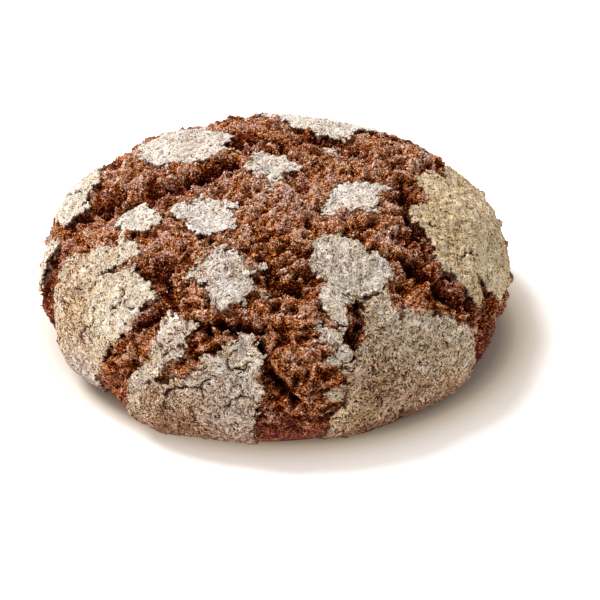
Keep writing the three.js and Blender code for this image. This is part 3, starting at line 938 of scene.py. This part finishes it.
# From the brown between the grains of meal to the whitest flour: on plain skin, under grey dust, on straw
# skin and on skin that baked brown
TAN_TONES = [
    (0.0, (0.055, 0.0145, 0.0040)),
    (0.22, (0.21, 0.088, 0.028)),
    (0.48, (0.47, 0.272, 0.115)),
    (0.72, (0.74, 0.575, 0.345)),
    (1.0, (0.93, 0.86, 0.72)),
]
GREY_TONES = [
    (0.0, (0.050, 0.017, 0.009)),
    (0.22, (0.20, 0.100, 0.066)),
    (0.48, (0.45, 0.300, 0.222)),
    (0.72, (0.73, 0.625, 0.570)),
    (1.0, (0.93, 0.89, 0.868)),
]
STRAW_TONES = [
    (0.0, (0.060, 0.016, 0.0030)),
    (0.22, (0.24, 0.098, 0.020)),
    (0.48, (0.52, 0.285, 0.092)),
    (0.72, (0.80, 0.570, 0.290)),
    (1.0, (0.94, 0.79, 0.56)),
]
PEACH_TONES = [
    (0.0, (0.060, 0.018, 0.008)),
    (0.3, (0.20, 0.088, 0.044)),
    (0.6, (0.50, 0.278, 0.155)),
    (1.0, (0.86, 0.680, 0.540)),
]

# How brown the skin is: uneven over a plate, and more down the flank, by the way from the crown
BROWN_LEAST = 0.6
BROWN_PATCH = (10, 0.8)
FLANK_WAYS = (66, 104)
FLANK_PATCHES = [(14, 40)]
FLANK_BROWN = 0.45
BROWN_DARK = 0.38
FLOUR_PATCHES = [(2.5, 0.4), (7, 0.6)]

# Where the flour is yellow or grey, where the skin is straw or peach, and where the foot is brown
YELLOW_PATCHES = [(11, 1.4)]
GREY_REST = 0.85
STRAW_YELLOW = (0.9, 2.1)
STRAW_SHARE = 0.65
PEACH_BROWN = (0.15, 0.9)
SKIN_FOOT_WAYS = (88, 101)
SKIN_FOOT_SHARE = 0.75


def flour_colour(shade, tone, grey, baked):
    """Colour of the floured skin for a tone: browner on plates that baked more and towards the foot."""
    way = shade.attribute("way")
    size, strength = BROWN_PATCH
    brown = shade.attribute("brown") * (BROWN_LEAST + shade.noise(size) * strength)
    brown = brown + way.patchy(FLANK_PATCHES).step(*FLANK_WAYS) * FLANK_BROWN
    tone = (tone - brown * BROWN_DARK).patchy(FLOUR_PATCHES)
    yellow = shade.attribute("yellow").patchy(YELLOW_PATCHES)
    colour = (grey + GREY_REST - yellow).step(0, 1).mix(tone.ramp(TAN_TONES), tone.ramp(GREY_TONES))
    colour = (yellow.step(*STRAW_YELLOW) * STRAW_SHARE).mix(colour, tone.ramp(STRAW_TONES))
    colour = (brown.step(*PEACH_BROWN) * baked).mix(colour, tone.ramp(PEACH_TONES))
    foot = way.patchy(FOOT_PATCHES).step(*SKIN_FOOT_WAYS)
    return (foot * SKIN_FOOT_SHARE).mix(colour, FOOT_BROWN)


# The grains of meal on the skin: size, bend and stretch, what they add to the tone, and their relief
MEAL_SIZE = 0.34
MEAL_BEND = 0.8
MEAL_STRETCH = 2.6
SKIN_TONE = 0.88
MEAL_UNEVEN = 0.35
MEAL_GREY = 1.4
SKIN_BAKED = 0.85
SKIN_BUMP = 0.3

# Brown specks among them, from which draws on, and short dark dashes, thin gaps in the flour that are partly
# brown
# crust showing and partly painted shade: more of both where the skin is brown
SPECK_DRAWS = (0.66, 0.86)
SPECK_BROWN = 0.15
SPECK_DARK = 0.65
DASH_SIZE = 1.6
DASH_EDGE = (0.5, 0.85)
DASH_PATCH_SIZE = 1.5
DASH_PATCH_EDGE = (0.46, 0.54)
DASH_DARK = 0.1
DASH_BROWN = 0.7

# The dark line of a crack, and how much the torn underside shows
LINE_PATCHES = [(1.0, 1.6)]
LINE_EDGE = (0.5, 0.2)
LINE_REACH = (1.4, 1.0)
TORN_SHARE = 0.9

skin_material, shader, shade = new_material("floured_skin")
middle, draw, second_draw, third_draw = shade.cells(MEAL_SIZE, MEAL_BEND, MEAL_STRETCH)
brown = shade.attribute("brown")
# Dashes: thin gaps in the flour, partly brown crust and partly painted shade
dashes = shade.ridges(DASH_SIZE).step(*DASH_EDGE) * shade.noise(DASH_PATCH_SIZE).step(*DASH_PATCH_EDGE)
speck = (draw + brown * SPECK_BROWN).step(*SPECK_DRAWS)
tone = SKIN_TONE + (third_draw - 0.5) * MEAL_UNEVEN - speck * SPECK_DARK
tone = tone - dashes * (DASH_DARK + brown * DASH_BROWN)
colour = flour_colour(shade, tone, (second_draw - 0.5) * MEAL_GREY, SKIN_BAKED)
colour = (shade.attribute("under") * TORN_SHARE).mix(colour, TORN_BROWN)
crack_side = shade.attribute("crack_side").patchy(LINE_PATCHES)
line = shade.math("ABSOLUTE", crack_side, 0).step(*LINE_EDGE)
line = line * shade.attribute("crack_near").step(*LINE_REACH)
plug(line.mix(colour, CRACK_BROWN), shader.inputs["Base Color"])
plug((1 - middle).bump(SKIN_BUMP), shader.inputs["Normal"])
skin_mesh = finished_mesh("floured_skin", skin_ball)
piece_of("floured_skin", skin_mesh, skin_material)

# The shreds: torn strands of crumb up to a millimetre or two long, that lie on the ridges of the torn places.
# They are one joined mesh, half sunk in the loaf.
SHREDS = 28000
SHRED_LENGTH = (0.25, 0.75)
SHRED_SHAPE = (1.2, 0.6, 0.7)
SHRED_TILT = 0.6
SHRED_TONE = 0.37
SHRED_TONE_SPREAD = 0.22
SHRED_SEED = 31

# Shreds lie on the open crumb above the foot, most of them on ridges and a few everywhere
OPEN_CRUMB = (0.0, 0.6)
BARE_FOOT = (91, 76)
HOLLOW_LESS = 0.5
ON_RIDGE = (-0.25, 0.5)
SHRED_ANYWHERE = 0.2

# A bit's shape: how deep it is, how far it stands out, how uneven its corners and its sizes are, and the draw
# that makes more short ones than long ones
BIT_DEPTH = 1.2
BIT_LIFT = 0.25
BIT_UNEVEN = (0.6, 1.4)
BIT_SPREAD = (0.7, 1.3)
BIT_SHORTNESS = (1.3, 2.4)

# Bits are smaller down the flank, by the way from the crown, and paler at their tips as a painted highlight
SMALLER_WAYS = (55, 80)
SMALLER_BY = 0.5
BIT_ROUGHNESS = 0.6
BIT_TIP_HIGHLIGHT = 0.7


def sow(count, surface, chance, draw):
    """Random places on a surface, more where the chance at its corners is higher: points, normals, facts."""
    points, normals, corners, facts = surface
    spots = points[corners]
    area = np.linalg.norm(np.cross(spots[:, 1] - spots[:, 0], spots[:, 2] - spots[:, 0]), axis=1)
    weight = area * chance[corners].mean(1)
    face = draw.choice(len(corners), size=count, p=weight / weight.sum())
    share = draw.dirichlet((1, 1, 1), size=count)

    def blend(values):
        return np.einsum("nc,nc...->n...", share, values[corners[face]])

    normal = blend(normals)
    normal /= np.linalg.norm(normal, axis=1)[:, None]
    return blend(points), normal, {fact: blend(values) for fact, values in facts.items()}


def frames_on(normal, draw, tilt):
    """Three axes for each bit: turned at random about the normal, and leaning from it by up to a tilt."""
    lean = normal + tilt * draw.uniform(-1, 1, normal.shape)
    lean /= np.linalg.norm(lean, axis=1)[:, None]
    first = np.cross(lean, draw.normal(size=normal.shape))
    first /= np.linalg.norm(first, axis=1)[:, None]
    return np.stack([first, np.cross(lean, first), lean], 1)


def joined_bits(name, points, axes, sizes, facts, draw):
    """One mesh of all the bits, each an uneven four-sided chip, carrying each bit's facts."""
    chip = bmesh.new()
    bmesh.ops.create_cone(chip, cap_ends=True, segments=3, radius1=1, radius2=0, depth=BIT_DEPTH)
    corners = np.array([vert.co for vert in chip.verts])
    faces = np.array([[vert.index for vert in face.verts] for face in chip.faces])
    chip.free()
    uneven = (corners[None] + (0, 0, BIT_LIFT)) * sizes[:, None, :]
    uneven *= draw.uniform(*BIT_UNEVEN, (len(points), len(corners), 1))
    places = points[:, None, :] + np.einsum("nca,nax->ncx", uneven, axes)
    index = faces[None] + (np.arange(len(points)) * len(corners))[:, None, None]
    mesh = bpy.data.meshes.new(name)
    mesh.from_pydata((places.reshape(-1, 3) * MM).tolist(), [], index.reshape(-1, 3).tolist())
    for fact, values in facts.items():
        mesh.attributes.new(fact, "FLOAT", "POINT").data.foreach_set("value", np.repeat(values, len(corners)))
    tip = np.tile(corners[:, 2] > 0, len(points)).astype(float)
    mesh.attributes.new("tip", "FLOAT", "POINT").data.foreach_set("value", tip)
    return mesh


def uneven_sizes(count, lengths, shape, draw, shortness=BIT_SHORTNESS, spread=BIT_SPREAD):
    """Sizes of bits along their three axes, with more short ones than long ones."""
    length = lengths[0] + (lengths[1] - lengths[0]) * draw.beta(*shortness, count)
    return length[:, None] * np.array(shape) * draw.uniform(*spread, (count, 3))


def flank_share(way):
    """How large bits are, as a share of their size on the crown: smaller down the flank."""
    return 1 - SMALLER_BY * smooth_step(way, *SMALLER_WAYS)[:, None]


def bits_material(name, tone):
    """The finish of loose crumb: the crumb's colours, paler at the tips of the bits as a painted highlight.
    """
    material, shader, shade = new_material(name)
    shader.inputs["Roughness"].default_value = BIT_ROUGHNESS
    tone = tone + shade.attribute("tone") + shade.attribute("tip") * BIT_TIP_HIGHLIGHT
    colour = crumb_colour(shade, tone, shade.attribute("tint") - 0.5, shade.attribute("rust"))
    plug(colour, shader.inputs["Base Color"])
    return material


draw = np.random.default_rng(SHRED_SEED)
crumb_surface = (crumb_points, crumb_normals, crumb_corners, crumb_facts)
crumb_chance = smooth_step(crumb_crust.gap, *OPEN_CRUMB) * smooth_step(crumb_crust.way, *BARE_FOOT)
on_ridge = smooth_step(crumb_stand - HOLLOW_LESS * crumb_hollow, *ON_RIDGE)
shred_chance = crumb_chance * (SHRED_ANYWHERE + on_ridge)
shred_points, shred_normals, shred_facts = sow(SHREDS, crumb_surface, shred_chance, draw)
shred_facts["tone"] = draw.normal(0, SHRED_TONE_SPREAD, SHREDS)
shred_facts["tint"] = draw.uniform(0, 1, SHREDS)
shred_facts["rust"] = draw.uniform(0, 1, SHREDS)
shred_sizes = uneven_sizes(SHREDS, SHRED_LENGTH, SHRED_SHAPE, draw)
shred_sizes *= flank_share(shred_facts["way"])
shred_axes = frames_on(shred_normals, draw, SHRED_TILT)
shreds_mesh = joined_bits("shreds", shred_points, shred_axes, shred_sizes, shred_facts, draw)
piece_of("shreds", shreds_mesh, bits_material("shreds", SHRED_TONE))

# The crumbs: specks of crumb, most of them under half a millimetre, all over the torn places. Some are pale,
# with flour and as painted glints, and some burnt dark. They are one joined mesh, on the crumb and among its
# shreds.
CRUMBS = 44000
CRUMB_LENGTH = (0.12, 0.38)
CRUMB_SHAPE = (1.0, 0.65, 0.8)
CRUMB_TILT = 0.9
CRUMB_BIT_TONE = 0.43
CRUMB_TONE_SPREAD = 0.27
PALE_AND_GLINT_SHARE = 0.25
PALE_AND_GLINT_LIGHT = (0.2, 0.9)
CRUMB_ANYWHERE = 0.1
CRUMB_SEED = 11
draw = np.random.default_rng(CRUMB_SEED)
bit_chance = crumb_chance * (CRUMB_ANYWHERE + on_ridge)
bit_points, bit_normals, bit_facts = sow(CRUMBS, crumb_surface, bit_chance, draw)
# Pale crumbs are flour dust and painted glints
pale = draw.random(CRUMBS) < PALE_AND_GLINT_SHARE
bit_facts["tone"] = draw.normal(0, CRUMB_TONE_SPREAD, CRUMBS)
bit_facts["tone"] += np.where(pale, draw.uniform(*PALE_AND_GLINT_LIGHT, CRUMBS), 0)
bit_facts["tint"] = draw.uniform(0, 1, CRUMBS)
bit_facts["rust"] = draw.uniform(0, 1, CRUMBS)
bit_sizes = uneven_sizes(CRUMBS, CRUMB_LENGTH, CRUMB_SHAPE, draw)
bit_points += bit_normals * draw.uniform(0, CRUMB_LENGTH[1], CRUMBS)[:, None]
bit_sizes *= flank_share(bit_facts["way"])
bit_axes = frames_on(bit_normals, draw, CRUMB_TILT)
crumbs_mesh = joined_bits("crumbs", bit_points, bit_axes, bit_sizes, bit_facts, draw)
piece_of("crumbs", crumbs_mesh, bits_material("crumbs", CRUMB_BIT_TONE))

# The flour: coarse rye meal that stuck to the skin, flat flakes of about a millimetre and less.
# They are one joined mesh, lying on the plates and spilt beside them.
FLAKES = 40000
FLAKE_LENGTH = (0.18, 0.55)
FLAKE_SHAPE = (1.15, 0.45, 0.35)
FLAKE_SHORTNESS = (1.4, 2.4)
FLAKE_SPREAD = (0.75, 1.3)
FLAKE_TILT = 0.4
FLAKE_SEED = 23

# Flakes lie thick on plain skin above the foot, fewer where it is brown, and none on broken edges and cracks
FLAKE_FOOT = (96, 72)
FLAKE_MOST = 1.3
FLAKE_BROWN_LESS = 0.8
FLAKE_FROM_EDGE = (-0.2, -0.7)
FLAKE_FROM_CRACK = (0.3, 0.8)

# Smaller ones spilt on the crumb beside the plates: how many, how far, and in patches of a size and seed
SPILL = 4500
SPILL_REACH = 1.6
SPILL_UNDER_SKIN = -0.5
SPILL_FOOT = (100, 80)
SPILL_PATCH = (4, 17)
SPILL_PATCH_EDGE = (-0.3, 0.3)
SPILL_SIZE = 0.6

# Tones of the flakes: a quarter are darker bran, and all are paler at their tips as a painted highlight
FLAKE_TONE = 0.98
FLAKE_TONE_SPREAD = 0.16
FLAKE_TIP_HIGHLIGHT = 0.3
FLAKE_GREY = 2
FLAKE_BAKED = 0.35
BRAN_SHARE = 0.25
BRAN_DARK = (0.2, 0.9)

draw = np.random.default_rng(FLAKE_SEED)
skin_surface = (skin_points, skin_normals, skin_corners, skin_facts)
chance = smooth_step(skin_crust.way, *FLAKE_FOOT) * (FLAKE_MOST - FLAKE_BROWN_LESS * skin_crust.brown)
chance *= smooth_step(broken_edge(skin_crust), *FLAKE_FROM_EDGE) * smooth_step(crack_near, *FLAKE_FROM_CRACK)
skin_batch = sow(FLAKES, skin_surface, chance, draw)
spill_facts = {fact: getattr(crumb_crust, fact) for fact in skin_facts}
spill_surface = (crumb_points, crumb_normals, crumb_corners, spill_facts)
chance = np.exp(-crumb_crust.gap.clip(0) / SPILL_REACH) * (crumb_crust.gap > SPILL_UNDER_SKIN)
chance *= smooth_step(crumb_crust.way, *SPILL_FOOT)
chance *= smooth_step(cloud(crumb_crust.points, *SPILL_PATCH), *SPILL_PATCH_EDGE)
spill_batch = sow(SPILL, spill_surface, chance, draw)
flake_points = np.concatenate([skin_batch[0], spill_batch[0]])
flake_normals = np.concatenate([skin_batch[1], spill_batch[1]])
flake_facts = {fact: np.concatenate([skin_batch[2][fact], spill_batch[2][fact]]) for fact in skin_facts}
flake_count = FLAKES + SPILL
flake_sizes = uneven_sizes(flake_count, FLAKE_LENGTH, FLAKE_SHAPE, draw, FLAKE_SHORTNESS, FLAKE_SPREAD)
flake_sizes[FLAKES:] *= SPILL_SIZE
flake_facts["tone"] = draw.normal(0, FLAKE_TONE_SPREAD, flake_count)
flake_facts["tone"] -= draw.uniform(*BRAN_DARK, flake_count) * (draw.random(flake_count) < BRAN_SHARE)
flake_facts["tint"] = draw.uniform(0, 1, flake_count)
flake_axes = frames_on(flake_normals, draw, FLAKE_TILT)
flakes_mesh = joined_bits("meal_flakes", flake_points, flake_axes, flake_sizes, flake_facts, draw)

flakes_material, shader, shade = new_material("meal_flakes")
tone = FLAKE_TONE + shade.attribute("tone") + shade.attribute("tip") * FLAKE_TIP_HIGHLIGHT
grey = (shade.attribute("tint") - 0.5) * FLAKE_GREY
plug(flour_colour(shade, tone, grey, FLAKE_BAKED), shader.inputs["Base Color"])
piece_of("meal_flakes", flakes_mesh, flakes_material)

# The floor: a plain pale sheet that the loaf stands on, far wider than the picture.
# It has a painted shadow close to the foot, darker and warmer, and further out it glows as painted light, so
# that it looks white there.
FLOOR_SIZE = 6.0

# Painted shadow tone and painted glow by the distance from the loaf, as a share of the reach of the glow
FLOOR_PAINTED_SHADOW_TONES = [
    (0.0, (0.56, 0.53, 0.50)),
    (0.64, (0.56, 0.53, 0.50)),
    (0.72, (0.82, 0.80, 0.78)),
    (0.80, (0.90, 0.88, 0.86)),
]
FLOOR_PAINTED_GLOW = [
    (0.0, (0.0, 0.0, 0.0)),
    (0.50, (0.0, 0.0, 0.0)),
    (0.57, (0.08, 0.064, 0.046)),
    (0.60, (0.20, 0.165, 0.12)),
    (0.62, (0.34, 0.285, 0.215)),
    (0.65, (0.47, 0.41, 0.34)),
    (0.68, (0.55, 0.50, 0.44)),
    (0.74, (0.64, 0.60, 0.56)),
    (0.84, (0.78, 0.76, 0.73)),
]
GLOW_REACH = 100
GLOW_CENTRE = (2 * MM, 0, 0)
GLOW_STRETCH = (0.91, 1.09, 1)
sheet = bmesh.new()
bmesh.ops.create_grid(sheet, x_segments=1, y_segments=1, size=FLOOR_SIZE / 2)
floor_mesh = bpy.data.meshes.new("floor")
sheet.to_mesh(floor_mesh)
sheet.free()
floor_material, floor_shader, floor_shade = new_material("floor")
place = floor_shade.node("ShaderNodeTexCoord", output="Object")
place = floor_shade.node("ShaderNodeVectorMath", {"operation": "MULTIPLY"}, {0: place, 1: GLOW_STRETCH})
ends = {0: place, 1: GLOW_CENTRE}
from_loaf = floor_shade.node("ShaderNodeVectorMath", {"operation": "DISTANCE"}, ends, output="Value")
share = from_loaf * (1 / (GLOW_REACH * MM))
plug(share.ramp(FLOOR_PAINTED_SHADOW_TONES), floor_shader.inputs["Base Color"])
plug(share.ramp(FLOOR_PAINTED_GLOW), floor_shader.inputs["Emission Color"])
floor_shader.inputs["Emission Strength"].default_value = 1.0
floor_mesh.materials.append(floor_material)
floor = bpy.data.objects.new("floor", floor_mesh)
bpy.context.scene.collection.objects.link(floor)

# The light: one large soft lamp, high at the left and a little behind, as from a window,
# in a white room that fills the shadows.
LAMP_AZIMUTH = 152
LAMP_ELEVATION = 52
LAMP_STRENGTH = 4.6
LAMP_SOFTNESS = 30
ROOM_STRENGTH = 0.26
lamp_data = bpy.data.lights.new("window", "SUN")
lamp_data.energy = LAMP_STRENGTH
lamp_data.angle = math.radians(LAMP_SOFTNESS)
lamp = bpy.data.objects.new("window", lamp_data)
bpy.context.scene.collection.objects.link(lamp)
azimuth, elevation = math.radians(LAMP_AZIMUTH), math.radians(LAMP_ELEVATION)
to_lamp = Vector((
    math.cos(azimuth) * math.cos(elevation),
    math.sin(azimuth) * math.cos(elevation),
    math.sin(elevation),
))
lamp.rotation_euler = to_lamp.to_track_quat("Z", "Y").to_euler()
lamp.location = to_lamp
world = bpy.data.worlds.new("room")
world.use_nodes = True
world.node_tree.nodes["Background"].inputs["Color"].default_value = (1, 1, 1, 1)
world.node_tree.nodes["Background"].inputs["Strength"].default_value = ROOM_STRENGTH
bpy.context.scene.world = world
bpy.context.scene.view_settings.view_transform = "Standard"

# The camera: a long lens a metre away, looking down on the loaf from the front,
# aimed so that the loaf lies a little left of the middle and above it.
CAMERA_ELEVATION = 35
CAMERA_DISTANCE = 1.0
CAMERA_LENS = 208.5
CAMERA_TARGET = Vector((0.0071, -0.0020, 0.0111))
camera_data = bpy.data.cameras.new("camera")
camera_data.lens = CAMERA_LENS
camera = bpy.data.objects.new("camera", camera_data)
bpy.context.scene.collection.objects.link(camera)
tilt = math.radians(CAMERA_ELEVATION)
to_camera = Vector((0, -math.cos(tilt), math.sin(tilt)))
camera.location = CAMERA_TARGET + CAMERA_DISTANCE * to_camera
camera.rotation_euler = to_camera.to_track_quat("Z", "Y").to_euler()
bpy.context.scene.camera = camera
